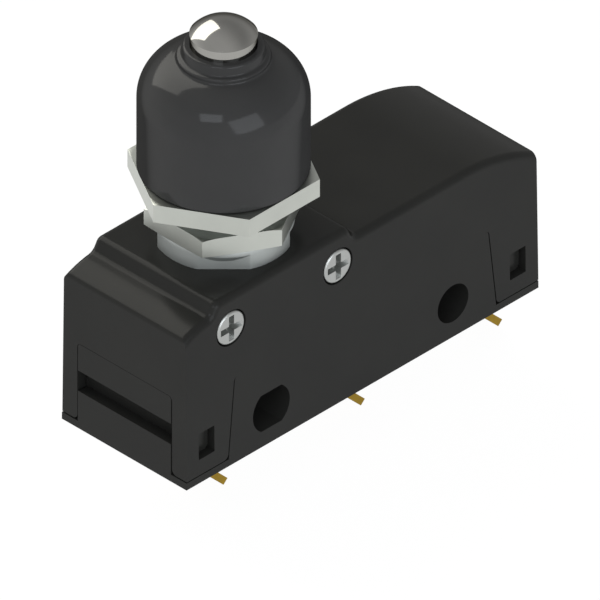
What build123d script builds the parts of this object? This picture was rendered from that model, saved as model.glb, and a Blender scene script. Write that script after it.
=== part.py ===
from build123d import *
import math
import os

# A snap-acting micro switch for panel mounting, worked by a sprung plunger.
# The origin is the centre of the round fixing hole, in the middle of the case's width.
# +X runs along the case to its bowed end, +Y goes through the fixing hole away from
# the screw heads, +Z points up to the push button. All sizes are in millimetres.

# Case: a lower base and a cover that reaches down over its four corners
CASE_WIDTH = 17.45
SIDE_DRAFT = 0.75
END_DRAFT = 0.2
CORNER_RADIUS_AT_FOOT = 0.15
CORNER_WIDENING = 1.3
TOP_EDGE_RADIUS = 0.8
HOLE_FROM_END = 11.9
HOLE_ABOVE_UNDERSIDE = 4.0
DECK_HEIGHT = 18.7
PLATEAU_HEIGHT = 20.15
PLATEAU_TOWARDS_HEEL = 9.45
PLATEAU_TOWARDS_BOW = 9.2
SHOULDER_RUN = 0.75
SHOULDER_ROUND = 1.0
HEEL_HEIGHT = 17.8
HEEL_RISE = 0.98
HEEL_RADIUS = 10.7
HEEL_EDGE_ROUND = 0.6
BOW_LENGTH = 10.1
BOW_RADIUS = 21.0
PARTING_HEIGHT = 10.2

# Fixing holes across the case
HOLE_PITCH = 25.4
HOLE_DIAMETER = 4.3
SLOT_DIAMETER = 5.15

# Corner tongues of the cover, their windows and the base's snap lugs
TONGUE_BOTTOM = 0.95
TONGUE_REACH = 5.8
TONGUE_LEAN = 1.0
TONGUE_RETURN = 2.1
TONGUE_WALL = 1.25
TONGUE_CORNER_RADIUS = 0.6
TONGUE_ROOT_RADIUS = 0.5
TONGUE_GAP = 0.12
WINDOW_FROM_END = 1.75
WINDOW_WIDTH = 2.2
WINDOW_BOTTOM = 2.8
WINDOW_HEIGHT = 3.1
LUG_RECESS = 0.9
LUG_CORNER_RADIUS = 0.6

# Grip groove across each end of the base
GROOVE_BOTTOM = 4.5
GROOVE_HEIGHT = 2.45
GROOVE_DEPTH = 1.45
GROOVE_FALL = 0.15

# Chamber for the contacts, shared by the base and the cover
CHAMBER_FLOOR = 7.9
CHAMBER_CEILING = 14.2
CHAMBER_END_WALL = 2.2
CHAMBER_SIDE_WALL = 2.6

# Bushing: shank with four flats in the cover, round collar, threaded barrel
AXIS_FROM_SLOT = 2.0
SHANK_FLATS = 13.1
SHANK_CLEARANCE = 0.02
SHANK_BOTTOM = 15.2
FLATS_TOP = 21.1
COLLAR_DIAMETER = 14.12
COLLAR_START = 21.83
COLLAR_TOP = 22.35
BARREL_DIAMETER = 12.0
BARREL_CHAMFER = 0.8
FOLD_ROOM = 0.9
SPRING_WELL_DIAMETER = 8.8
SPRING_WELL_FLOOR = 27.0
CLIP_WELL_DIAMETER = 6.8
CLIP_WELL_TOP = 21.0
BEAD_LEVEL = 33.0
BEAD_DEPTH = 0.45
BEAD_WIDTH = 0.5

# Nuts on the barrel
LOWER_NUT_FLATS = 14.16
LOWER_NUT_THICKNESS = 2.15
LOWER_NUT_CHAMFER = 0.32
LOWER_NUT_TURN = 90.0
PANEL_NUT_FLATS = 17.06
PANEL_NUT_THICKNESS = 2.1
PANEL_NUT_TURN = 0.0
PANEL_GAP = 1.6
THREAD_CLEARANCE = 0.05

# Rubber gaiter
GAITER_OVERHANG = 0.22
GAITER_SHOULDER = 36.7
GAITER_DOME_RADIUS = 4.75
GAITER_WALL = 1.2
NECK_BASE_RADIUS = 4.6
NECK_TOP_RADIUS = 4.0
NECK_TOP = 42.5
NECK_ROUND = 0.35
GAITER_INNER_SLOPE = 1.0
INNER_DOME_TURN = 78.5
INNER_DOME_FACES = 6

# Plunger: domed button, stem and spring collar turned in one piece
BUTTON_DIAMETER = 6.82
BUTTON_BOTTOM = 42.9
BUTTON_BAND = 1.2
BUTTON_CAP = 1.55
STEM_DIAMETER = 4.8
STEM_BOTTOM = 19.9
STEM_BORE_DIAMETER = 2.6
STEM_BORE_TOP = 31.0
SPRING_COLLAR_DIAMETER = 8.2
SPRING_COLLAR_TOP = 40.4
SPRING_COLLAR_THICKNESS = 0.8
CLIP_DIAMETER = 6.2
CLIP_THICKNESS = 0.6
CLIP_GROOVE_DEPTH = 0.35
PLUNGER_TRAVEL = 4.5

# Actuator pin between the plunger's spring and the contact blade
PIN_DIAMETER = 2.4
PIN_TOP = 24.0
PIN_TRAVEL = 0.32

# Springs
WIRE_SIDES = 6
RETURN_WIRE = 0.6
RETURN_RADIUS = 3.6
RETURN_TURNS = 5
OVERTRAVEL_WIRE = 0.3
OVERTRAVEL_RADIUS = 0.95
OVERTRAVEL_TURNS = 7

# Cross screws that pass through grooves in the bushing's flats
SCREW_OFFSET = 7.47
SCREW_HEIGHT = 16.38
SCREW_DIAMETER = 3.0
SCREW_LENGTH = 12.0
SCREW_HEAD_DIAMETER = 3.8
SCREW_HEAD_HEIGHT = 1.3
SCREW_HEAD_ROUND = 0.3
SCREW_RECESS = 0.15
COUNTERBORE_GAP = 0.15
CROSS_SPAN = 3.0
CROSS_WIDTH = 0.7
CROSS_DEPTH = 0.9

# Terminals: blades that leave the underside and bend towards the bowed end
TERMINAL_WIDTH = 6.3
TERMINAL_THICKNESS = 0.8
TERMINAL_PITCH = 19.2
FIRST_TERMINAL_FROM_HEEL = 4.35
TERMINAL_BEND_DROP = 0.5
TERMINAL_BEND_ANGLE = 45.0
TERMINAL_BEND_RADIUS = 0.9
TERMINAL_REACH = 9.8
DETENT_DIAMETER = 1.65
DETENT_FROM_TIP = 3.2
TIP_CHAMFER = 0.35

# Contact system in the chamber
BLADE_HEIGHT = 11.2
BLADE_THICKNESS = 0.25
BLADE_WIDTH = 5.0
BLADE_TIP_MARGIN = 1.4
BLADE_WINDOW_WIDTH = 3.0
BLADE_WINDOW_LENGTH = 7.5
BLADE_WINDOW_FROM_PIN = 1.0
BLADE_GAP = 0.05
PIVOT_FROM_POST = 2.0
PIVOT_BEAD_DIAMETER = 0.5
CONTACT_FROM_AXIS = 16.05
CONTACT_DIAMETER = 3.0
CONTACT_HEAD = 0.7
CONTACT_MARGIN = 0.1
SNAP_SPRING_WIDTH = 2.4
SNAP_SPRING_THICKNESS = 0.2
SNAP_SPRING_SAG = 1.1
SNAP_SPRING_INSET = 1.0
ANCHOR_CLEARANCE = 0.2

# Fits
RUNNING_CLEARANCE = 0.05
SEAT_GAP = 0.05
CUT_MARGIN = 2.0

# Places worked out from the sizes above
HALF_WIDTH = CASE_WIDTH / 2
CASE_LENGTH = HOLE_PITCH + 2 * HOLE_FROM_END
BOW_END_X = HOLE_FROM_END
HEEL_X = BOW_END_X - CASE_LENGTH
MIDDLE_X = (HEEL_X + BOW_END_X) / 2
AXIS_X = -HOLE_PITCH + AXIS_FROM_SLOT
POST_X = [HEEL_X + FIRST_TERMINAL_FROM_HEEL + i * TERMINAL_PITCH for i in range(3)]
PIVOT_X = POST_X[0] + PIVOT_FROM_POST
CONTACT_X = AXIS_X + CONTACT_FROM_AXIS
GAITER_DIAMETER = PANEL_NUT_FLATS + GAITER_OVERHANG
LOWER_NUT_TOP = COLLAR_TOP + LOWER_NUT_THICKNESS
PANEL_NUT_BOTTOM = LOWER_NUT_TOP + PANEL_GAP
PANEL_NUT_TOP = PANEL_NUT_BOTTOM + PANEL_NUT_THICKNESS
BARREL_TOP = SPRING_COLLAR_TOP - PLUNGER_TRAVEL - FOLD_ROOM
ANCHOR_HEIGHT = CHAMBER_FLOOR + ANCHOR_CLEARANCE + TERMINAL_THICKNESS
BLADE_WINDOW_X = AXIS_X + PIN_DIAMETER / 2 + BLADE_WINDOW_FROM_PIN
BLADE_TOP = BLADE_HEIGHT + BLADE_THICKNESS
PIVOT_HEIGHT = (BLADE_HEIGHT + BLADE_TOP) / 2
BLADE_LEVERAGE = (CONTACT_X - PIVOT_X) / (AXIS_X - PIVOT_X)
CONTACT_GAP = PIN_TRAVEL * BLADE_LEVERAGE + CONTACT_MARGIN
NC_FACE = BLADE_TOP + CONTACT_HEAD
NO_FACE = BLADE_HEIGHT - CONTACT_HEAD - CONTACT_GAP
SCREW_SEAT_Y = -HALF_WIDTH + SCREW_RECESS + SCREW_HEAD_HEIGHT


def level(height):
    """Height above the case's underside, as a Z of this frame."""
    return height - HOLE_ABOVE_UNDERSIDE


def block(x0, x1, y0, y1, z0, z1):
    """Box between two corners; the heights are above the underside."""
    box = Box(x1 - x0, y1 - y0, z1 - z0, align=(Align.MIN, Align.MIN, Align.MIN))
    return Pos(x0, y0, level(z0)) * box


def side_plate(points, y0, y1, rounds=()):
    """Plate cut to an outline of (x, height) points, between two places across the width.
    Each of the rounds gives the number of a corner and its radius."""
    outline = [(x, level(height)) for x, height in points]
    face = make_face(Plane.XZ * Polyline(*outline, close=True))
    for corner, radius in rounds:
        spot = Vector(points[corner][0], 0, level(points[corner][1]))
        face = fillet(face.vertices().sort_by_distance(spot)[0:1], radius)
    plate = extrude(face, amount=y1 - y0, dir=(0, 1, 0))
    return Pos(0, y0, 0) * plate


def round_bar(x, z0, z1, diameter):
    """Upright round bar on the mid-plane."""
    bar = Cylinder(diameter / 2, z1 - z0, align=(Align.CENTER, Align.CENTER, Align.MIN))
    return Pos(x, 0, level(z0)) * bar


def cross_bar(x, height, y0, y1, diameter):
    """Round bar that runs across the case."""
    bar = Cylinder(diameter / 2, y1 - y0, align=(Align.CENTER, Align.CENTER, Align.MIN))
    return Pos(x, y0, level(height)) * Rot(-90, 0, 0) * bar


def prism(x, z0, z1, flats, sides, turn):
    """Upright prism with a given size across flats; turn is the angle of a corner."""
    corner_radius = flats / 2 / math.cos(math.pi / sides)
    face = RegularPolygon(corner_radius, sides, major_radius=True, rotation=turn)
    return Pos(x, 0, level(z0)) * extrude(face, amount=z1 - z0)


def turned(points, x=AXIS_X):
    """Piece turned about an upright axis, from an outline of (radius, height) points."""
    outline = [(radius, level(height)) for radius, height in points]
    face = make_face(Plane.XZ * Polyline(*outline, close=True))
    return Pos(x, 0, 0) * revolve(face, Axis.Z)


def mirrored_ends(piece):
    """The piece and its mirror image at the other end of the case."""
    return [piece, mirror(piece, Plane.YZ.offset(MIDDLE_X))]


def at_four_corners(piece):
    """The piece at all four upright corners of the case."""
    pair = mirrored_ends(piece)
    return pair + [mirror(one, Plane.XZ) for one in pair]


def heel_corners():
    """The two ends of the heel's arched top, as (x, height): at the end face, at the shoulder."""
    outer = (HEEL_X + drawn_in(HEEL_HEIGHT, END_DRAFT), HEEL_HEIGHT)
    inner = (AXIS_X - PLATEAU_TOWARDS_HEEL - SHOULDER_RUN, HEEL_HEIGHT + HEEL_RISE)
    return outer, inner


def top_outline():
    """Side view of the whole case: arched heel, plateau, deck and bowed end."""
    bow_drop = BOW_RADIUS - math.sqrt(BOW_RADIUS ** 2 - BOW_LENGTH ** 2)
    heel_end, heel_foot = heel_corners()
    shoulder = [
        heel_foot,
        (AXIS_X - PLATEAU_TOWARDS_HEEL, PLATEAU_HEIGHT),
        (AXIS_X + PLATEAU_TOWARDS_BOW, PLATEAU_HEIGHT),
        (AXIS_X + PLATEAU_TOWARDS_BOW + SHOULDER_RUN, DECK_HEIGHT),
    ]
    bow_start = (BOW_END_X - BOW_LENGTH, DECK_HEIGHT)
    bow_end = (BOW_END_X, DECK_HEIGHT - bow_drop)
    upper = shoulder + [bow_start]
    lower = [bow_end, (BOW_END_X, 0), (heel_end[0], 0), heel_end]
    heel = RadiusArc(_flat(heel_end), _flat(heel_foot), HEEL_RADIUS)
    bow = RadiusArc(_flat(bow_start), _flat(bow_end), BOW_RADIUS)
    lines = heel + Polyline(*[_flat(p) for p in upper]) + bow + Polyline(*[_flat(p) for p in lower])
    face = make_face(lines)
    for x, height in shoulder:
        near = face.vertices().sort_by_distance(Vector(x, level(height), 0))[0:1]
        face = fillet(near, SHOULDER_ROUND)
    return face


def _flat(point):
    """An (x, height) pair in the sketch plane."""
    return (point[0], level(point[1]))


def drawn_in(height, draft):
    """How far a wall with this draft leans in at a height above the underside."""
    return height * math.tan(math.radians(draft))


def drafted_block(height):
    """Block on the case's plan that narrows upwards by the draft of its sides and ends."""
    end_in = drawn_in(height, END_DRAFT)
    side_in = drawn_in(height, SIDE_DRAFT)
    end_view = [(HEEL_X, 0), (BOW_END_X, 0), (BOW_END_X - end_in, height), (HEEL_X + end_in, height)]
    side_walls = [(-HALF_WIDTH, 0), (HALF_WIDTH, 0), (HALF_WIDTH - side_in, height)]
    side_walls.append((side_in - HALF_WIDTH, height))
    along = side_plate(end_view, -HALF_WIDTH - CUT_MARGIN, HALF_WIDTH + CUT_MARGIN)
    across = side_plate(side_walls, -BOW_END_X - CUT_MARGIN, -HEEL_X + CUT_MARGIN)
    return along & Rot(0, 0, 90) * across


def base_blank():
    """The outside of the base: square corners and the case's draft on all four sides."""
    return drafted_block(PARTING_HEIGHT)


def cover_blank():
    """The outside of the cover, carried down to the underside, with all its rounded edges."""
    side_view = Rot(90, 0, 0) * extrude(top_outline(), amount=HALF_WIDTH + CUT_MARGIN, both=True)
    blank = drafted_block(PLATEAU_HEIGHT + CUT_MARGIN) & side_view
    rim = blank.edges().filter_by(lambda edge: is_long_top_edge(edge))
    return fillet(rim, TOP_EDGE_RADIUS) - heel_edge() - at_four_corners(upright_corner())


def is_long_top_edge(edge):
    """True on the edges where the top meets the two long sides."""
    middle = edge.center()
    inset = HALF_WIDTH - TOP_EDGE_RADIUS
    inside = HEEL_X + TOP_EDGE_RADIUS < middle.X < BOW_END_X - TOP_EDGE_RADIUS
    return inside and abs(middle.Y) > inset and middle.Z > level(PARTING_HEIGHT + CUT_MARGIN)


def heel_edge():
    """Cutter that rounds the edge between the heel's arched top and the end face."""
    outer, inner = [Vector(x, height) for x, height in heel_corners()]
    chord = inner - outer
    up = Vector(-chord.Y, chord.X).normalized()
    drop = math.sqrt(HEEL_RADIUS ** 2 - (chord.length / 2) ** 2)
    arch_centre = (outer + inner) * 0.5 - up * drop
    x = outer.X + HEEL_EDGE_ROUND
    reach = HEEL_RADIUS - HEEL_EDGE_ROUND
    height = arch_centre.Y + math.sqrt(reach ** 2 - (x - arch_centre.X) ** 2)
    outward = (Vector(x, height) - arch_centre).normalized()
    tip = Vector(x, height) + outward * CUT_MARGIN
    left = outer.X - CUT_MARGIN
    y = HALF_WIDTH + CUT_MARGIN
    waste = side_plate([(left, height), (x, height), (tip.X, tip.Y), (left, tip.Y)], -y, y)
    return waste - cross_bar(x, height, -y - CUT_MARGIN, y + CUT_MARGIN, 2 * HEEL_EDGE_ROUND)


def upright_corner():
    """Cutter that rounds an upright corner of the cover, more and more towards the top."""
    low = -CUT_MARGIN
    high = PLATEAU_HEIGHT + CUT_MARGIN
    circles = []
    middles = []
    for height in (low, high):
        radius = CORNER_RADIUS_AT_FOOT + drawn_in(height, CORNER_WIDENING)
        x = HEEL_X + drawn_in(height, END_DRAFT) + radius
        y = -HALF_WIDTH + drawn_in(height, SIDE_DRAFT) + radius
        circles.append(Pos(x, y, level(height)) * Circle(radius))
        middles.append((x, y))
    left = HEEL_X - CUT_MARGIN
    front = -HALF_WIDTH - CUT_MARGIN
    end_view = [(left, low), (middles[0][0], low), (middles[1][0], high), (left, high)]
    side_view = [(front, low), (middles[0][1], low), (middles[1][1], high), (front, high)]
    along = side_plate(end_view, front, 0)
    across = Rot(0, 0, 90) * side_plate(side_view, 0, -left)
    return along & across - loft(circles, ruled=True)


def tongue_leaf(corner, reach, lean, wall, gap):
    """Part of a tongue on one face of the case, which starts at a corner of the plan.
    Its free corner is rounded, and it flares where it runs into the cover."""
    outer = corner - CUT_MARGIN
    bottom = TONGUE_BOTTOM - gap
    root = corner + reach + lean + gap
    outline = [
        (outer, bottom),
        (corner + reach + gap, bottom),
        (root, PARTING_HEIGHT),
        (root + CUT_MARGIN, PARTING_HEIGHT),
        (root + CUT_MARGIN, PARTING_HEIGHT + CUT_MARGIN),
        (outer, PARTING_HEIGHT + CUT_MARGIN),
    ]
    free_corner, root_corner = 1, 2
    rounds = [(root_corner, TONGUE_ROOT_RADIUS - gap)]
    if not gap:
        rounds.append((free_corner, TONGUE_CORNER_RADIUS))
    return side_plate(outline, wall[0], wall[1], rounds)


def tongue_zone(gap):
    """Space of one corner tongue, grown by a gap for the pocket that it lies in."""
    inner_y = -HALF_WIDTH + TONGUE_WALL + gap
    inner_x = HEEL_X + TONGUE_WALL + gap
    side_wall = (-HALF_WIDTH - CUT_MARGIN, inner_y)
    end_wall = (-inner_x, -HEEL_X + CUT_MARGIN)
    wing = tongue_leaf(HEEL_X, TONGUE_REACH, TONGUE_LEAN, side_wall, gap)
    end = tongue_leaf(-HALF_WIDTH, TONGUE_RETURN, 0, end_wall, gap)
    return wing + Rot(0, 0, 90) * end


def tongue_window():
    """Cutter for the window that a snap lug looks out of."""
    x0 = HEEL_X + WINDOW_FROM_END
    x1 = x0 + WINDOW_WIDTH
    top = WINDOW_BOTTOM + WINDOW_HEIGHT
    y0 = -HALF_WIDTH - CUT_MARGIN
    y1 = -HALF_WIDTH + TONGUE_WALL + TONGUE_GAP / 2
    return block(x0, x1, y0, y1, WINDOW_BOTTOM, top)


def snap_lug():
    """Rounded lug on the floor of a tongue's pocket."""
    x0 = HEEL_X + WINDOW_FROM_END + TONGUE_GAP
    x1 = x0 + WINDOW_WIDTH - 2 * TONGUE_GAP
    z0 = WINDOW_BOTTOM + TONGUE_GAP
    z1 = z0 + WINDOW_HEIGHT - 2 * TONGUE_GAP
    y0 = -HALF_WIDTH + LUG_RECESS
    y1 = -HALF_WIDTH + TONGUE_WALL + TONGUE_GAP
    lug = block(x0, x1, y0, y1, z0, z1)
    return fillet(lug.edges().filter_by(Axis.Y), LUG_CORNER_RADIUS)


def end_groove():
    """Cutter for the grip groove across the heel end, its floor falling inwards."""
    top = GROOVE_BOTTOM + GROOVE_HEIGHT
    outline = [
        (HEEL_X - CUT_MARGIN, GROOVE_BOTTOM),
        (HEEL_X, GROOVE_BOTTOM),
        (HEEL_X + GROOVE_DEPTH, GROOVE_BOTTOM - GROOVE_FALL),
        (HEEL_X + GROOVE_DEPTH, top),
        (HEEL_X - CUT_MARGIN, top),
    ]
    half = HALF_WIDTH - TONGUE_RETURN - TONGUE_GAP
    return side_plate(outline, -half, half)


def chamber(z0, z1):
    """Room for the contact system between two heights."""
    half = HALF_WIDTH - CHAMBER_SIDE_WALL
    x0 = HEEL_X + CHAMBER_END_WALL
    x1 = BOW_END_X - CHAMBER_END_WALL
    return block(x0, x1, -half, half, z0, z1)


def fixing_holes():
    """Cutters for the round hole and for the hole with flats above and below."""
    reach = HALF_WIDTH + CUT_MARGIN
    round_hole = cross_bar(0, HOLE_ABOVE_UNDERSIDE, -reach, reach, HOLE_DIAMETER)
    wide = cross_bar(-HOLE_PITCH, HOLE_ABOVE_UNDERSIDE, -reach, reach, SLOT_DIAMETER)
    half = HOLE_DIAMETER / 2
    low = HOLE_ABOVE_UNDERSIDE - half
    high = HOLE_ABOVE_UNDERSIDE + half
    flats = block(-HOLE_PITCH - SLOT_DIAMETER, -HOLE_PITCH + SLOT_DIAMETER, -reach, reach, low, high)
    return [round_hole, wide & flats]


def terminal_slots():
    """Cutters for the three slots that the terminals are moulded into."""
    half = TERMINAL_WIDTH / 2
    reach = TERMINAL_THICKNESS / 2
    return [
        block(x - reach, x + reach, -half, half, -CUT_MARGIN, CHAMBER_FLOOR + CUT_MARGIN)
        for x in POST_X
    ]


def make_base():
    """Lower half of the case: corner pockets with snap lugs, grooves, holes and slots."""
    base = base_blank() - at_four_corners(tongue_zone(TONGUE_GAP))
    base += at_four_corners(snap_lug())
    base -= mirrored_ends(end_groove())
    base -= fixing_holes()
    base -= chamber(CHAMBER_FLOOR, PARTING_HEIGHT + CUT_MARGIN)
    return base - terminal_slots()


def screw_places():
    """Places along the case of the two cross screws."""
    return [AXIS_X - SCREW_OFFSET, AXIS_X + SCREW_OFFSET]


def make_cover():
    """Upper half of the case with its corner tongues, bushing seat and screw holes."""
    reach = HALF_WIDTH + CUT_MARGIN
    x0 = HEEL_X - CUT_MARGIN
    x1 = BOW_END_X + CUT_MARGIN
    top = PLATEAU_HEIGHT + CUT_MARGIN
    tongues = at_four_corners(tongue_zone(0.0) - tongue_window())
    cover = cover_blank() & (block(x0, x1, -reach, reach, PARTING_HEIGHT, top) + tongues)
    cover -= chamber(PARTING_HEIGHT - CUT_MARGIN, CHAMBER_CEILING)
    cover -= shank(top, SHANK_CLEARANCE)
    pin_hole = PIN_DIAMETER + 2 * RUNNING_CLEARANCE
    cover -= round_bar(AXIS_X, CHAMBER_CEILING - CUT_MARGIN, SHANK_BOTTOM + CUT_MARGIN, pin_hole)
    for x in screw_places():
        hole = SCREW_DIAMETER + 2 * RUNNING_CLEARANCE
        tip_y = SCREW_SEAT_Y + SCREW_LENGTH + RUNNING_CLEARANCE
        cover -= cross_bar(x, SCREW_HEIGHT, -reach, tip_y, hole)
        counterbore = SCREW_HEAD_DIAMETER + 2 * COUNTERBORE_GAP
        cover -= cross_bar(x, SCREW_HEIGHT, -reach, SCREW_SEAT_Y, counterbore)
    return cover


def bead_ring(reach, gap):
    """Ridge of the gaiter round the barrel, out to a radius; grown by a gap, its groove."""
    crest = BARREL_DIAMETER / 2 - BEAD_DEPTH - gap
    half = BEAD_WIDTH / 2 + gap
    flank = half + reach - crest
    return turned([
        (crest, BEAD_LEVEL - half),
        (reach, BEAD_LEVEL - flank),
        (reach, BEAD_LEVEL + flank),
        (crest, BEAD_LEVEL + half),
    ])


def shank(top, gap):
    """Round bar with four flats that face the case's upright corners, grown by a gap."""
    flats = prism(AXIS_X, SHANK_BOTTOM, top, SHANK_FLATS + 2 * gap, 4, 0.0)
    return flats & round_bar(AXIS_X, SHANK_BOTTOM, top, COLLAR_DIAMETER + 2 * gap)


def make_bushing():
    """Turned bushing: shank with four flats, collar and threaded barrel with a spring well."""
    collar_radius = COLLAR_DIAMETER / 2
    barrel_radius = BARREL_DIAMETER / 2
    upper = turned([
        (0, FLATS_TOP),
        (SHANK_FLATS / 2, FLATS_TOP),
        (collar_radius, COLLAR_START),
        (collar_radius, COLLAR_TOP),
        (barrel_radius, COLLAR_TOP),
        (barrel_radius, BARREL_TOP - BARREL_CHAMFER),
        (barrel_radius - BARREL_CHAMFER, BARREL_TOP),
        (0, BARREL_TOP),
    ])
    bushing = shank(COLLAR_START, 0.0) + upper
    bore = STEM_DIAMETER + 2 * RUNNING_CLEARANCE
    foot, rim = SHANK_BOTTOM - CUT_MARGIN, BARREL_TOP + CUT_MARGIN
    bushing -= round_bar(AXIS_X, foot, rim, bore)
    bushing -= round_bar(AXIS_X, SPRING_WELL_FLOOR, rim, SPRING_WELL_DIAMETER)
    bushing -= round_bar(AXIS_X, foot, CLIP_WELL_TOP, CLIP_WELL_DIAMETER)
    bushing -= bead_ring(barrel_radius + RUNNING_CLEARANCE, RUNNING_CLEARANCE)
    for x in screw_places():
        hole = SCREW_DIAMETER + 2 * RUNNING_CLEARANCE
        bushing -= cross_bar(x, SCREW_HEIGHT, -CASE_WIDTH, CASE_WIDTH, hole)
    return bushing


def make_nut(z0, thickness, flats, turn, chamfer_height):
    """Hexagon nut with its corners turned off at the chosen height below and above."""
    z1 = z0 + thickness
    corner = flats / 2 / math.cos(math.pi / 6)
    nut = prism(AXIS_X, z0, z1, flats, 6, turn)
    if chamfer_height:
        nut &= turned([
            (0, z0),
            (flats / 2, z0),
            (corner, z0 + chamfer_height),
            (corner, z1 - chamfer_height / 2),
            (flats / 2 + (corner - flats / 2) / 2, z1),
            (0, z1),
        ])
    bore = BARREL_DIAMETER + 2 * THREAD_CLEARANCE
    return nut - round_bar(AXIS_X, z0 - CUT_MARGIN, z1 + CUT_MARGIN, bore)


def dome_point(radius, turn):
    """Point of an arc about the centre of the gaiter's dome, at an angle above the level."""
    centre_r = GAITER_DIAMETER / 2 - GAITER_DOME_RADIUS
    angle = math.radians(turn)
    return _flat((centre_r + radius * math.cos(angle), GAITER_SHOULDER + radius * math.sin(angle)))


def make_gaiter():
    """Hollow rubber gaiter: thick skirt on the barrel, thin dome, neck under the button."""
    outer = GAITER_DIAMETER / 2
    inner = outer - GAITER_WALL
    centre_r = outer - GAITER_DOME_RADIUS
    neck_turn = math.degrees(math.acos((NECK_BASE_RADIUS - centre_r) / GAITER_DOME_RADIUS))
    neck_base = dome_point(GAITER_DOME_RADIUS, neck_turn)
    inner_dome = GAITER_DOME_RADIUS - GAITER_WALL
    inner_end = dome_point(inner_dome, INNER_DOME_TURN)
    skirt_r = BARREL_DIAMETER / 2 + RUNNING_CLEARANCE
    stem_r = STEM_DIAMETER / 2 + RUNNING_CLEARANCE
    roof = SPRING_COLLAR_TOP + SEAT_GAP
    shoulder = _flat((outer, GAITER_SHOULDER))
    inner_shoulder = _flat((inner, GAITER_SHOULDER))
    run = Polyline(_flat((skirt_r, PANEL_NUT_TOP)), _flat((outer, PANEL_NUT_TOP)), shoulder)
    run += ThreePointArc(shoulder, dome_point(GAITER_DOME_RADIUS, neck_turn / 2), neck_base)
    run += Polyline(
        neck_base,
        _flat((NECK_TOP_RADIUS + NECK_ROUND, NECK_TOP - NECK_ROUND)),
        _flat((NECK_TOP_RADIUS, NECK_TOP)),
        _flat((stem_r, BUTTON_BOTTOM - SEAT_GAP)),
        _flat((stem_r, roof)),
        (inner_end[0], level(roof)),
        inner_end,
    )
    inner_turns = [INNER_DOME_TURN * share / INNER_DOME_FACES for share in range(INNER_DOME_FACES, 0, -1)]
    run += Polyline(*[dome_point(inner_dome, turn) for turn in inner_turns], inner_shoulder)
    run += Polyline(
        inner_shoulder,
        _flat((inner, BARREL_TOP)),
        _flat((skirt_r, BARREL_TOP - GAITER_INNER_SLOPE)),
        _flat((skirt_r, PANEL_NUT_TOP)),
    )
    profile = Plane.XZ * make_face(run)
    gaiter = Pos(AXIS_X, 0, 0) * revolve(profile, Axis.Z)
    return gaiter + bead_ring(skirt_r + RUNNING_CLEARANCE, 0.0)


def make_plunger():
    """Steel plunger: domed button, stem with a spring collar and a bore from below."""
    button_r = BUTTON_DIAMETER / 2
    band_top = BUTTON_BOTTOM + BUTTON_BAND
    top = band_top + BUTTON_CAP
    cap_radius = (button_r ** 2 + BUTTON_CAP ** 2) / (2 * BUTTON_CAP)
    half_angle = math.asin(button_r / cap_radius) / 2
    centre = top - cap_radius
    cap_mid = (cap_radius * math.sin(half_angle), centre + cap_radius * math.cos(half_angle))
    rim = _flat((button_r, band_top))
    foot = _flat((button_r, BUTTON_BOTTOM))
    run = Polyline(_flat((0, top)), _flat((0, BUTTON_BOTTOM)), foot, rim)
    run += ThreePointArc(rim, _flat(cap_mid), _flat((0, top)))
    button = Pos(AXIS_X, 0, 0) * revolve(Plane.XZ * make_face(run), Axis.Z)
    stem = round_bar(AXIS_X, STEM_BOTTOM, BUTTON_BOTTOM, STEM_DIAMETER)
    collar_bottom = SPRING_COLLAR_TOP - SPRING_COLLAR_THICKNESS
    collar = round_bar(AXIS_X, collar_bottom, SPRING_COLLAR_TOP, SPRING_COLLAR_DIAMETER)
    plunger = button + stem + collar
    plunger -= round_bar(AXIS_X, STEM_BOTTOM - CUT_MARGIN, STEM_BORE_TOP, STEM_BORE_DIAMETER)
    z0 = clip_bottom()
    z1 = z0 + CLIP_THICKNESS
    groove = round_bar(AXIS_X, z0, z1, STEM_DIAMETER + CUT_MARGIN)
    groove -= round_bar(AXIS_X, z0, z1, STEM_DIAMETER - 2 * CLIP_GROOVE_DEPTH)
    return plunger - groove


def clip_bottom():
    """Height of the clip's lower face, just under the top of its well at rest."""
    return CLIP_WELL_TOP - SEAT_GAP - CLIP_THICKNESS


def make_clip():
    """Spring clip in the stem's groove, open on one side, that stops the plunger's return."""
    z0 = clip_bottom()
    z1 = z0 + CLIP_THICKNESS
    inner = STEM_DIAMETER - 2 * CLIP_GROOVE_DEPTH + 2 * RUNNING_CLEARANCE
    clip = round_bar(AXIS_X, z0, z1, CLIP_DIAMETER) - round_bar(AXIS_X, z0, z1, inner)
    mouth = inner / 3
    return clip - block(AXIS_X, AXIS_X + CLIP_DIAMETER, -mouth, mouth, z0, z1)


def make_pin():
    """Moulded pin with a rounded foot that presses on the contact blade."""
    foot = BLADE_TOP + BLADE_GAP
    pin = round_bar(AXIS_X, foot, PIN_TOP, PIN_DIAMETER)
    return fillet(pin.edges().sort_by(Axis.Z)[0], PIN_DIAMETER / 4)


def make_coil(z0, z1, radius, wire, turns):
    """Coil spring between two heights, one swept wire with a many-sided section."""
    rise = z1 - z0 - wire
    path = Helix(pitch=rise / turns, height=rise, radius=radius)
    section = Plane(origin=path @ 0, z_dir=path % 0) * RegularPolygon(wire / 2, WIRE_SIDES)
    coil = sweep(section, path=path)
    return Pos(AXIS_X, 0, level(z0) + wire / 2) * coil


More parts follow.
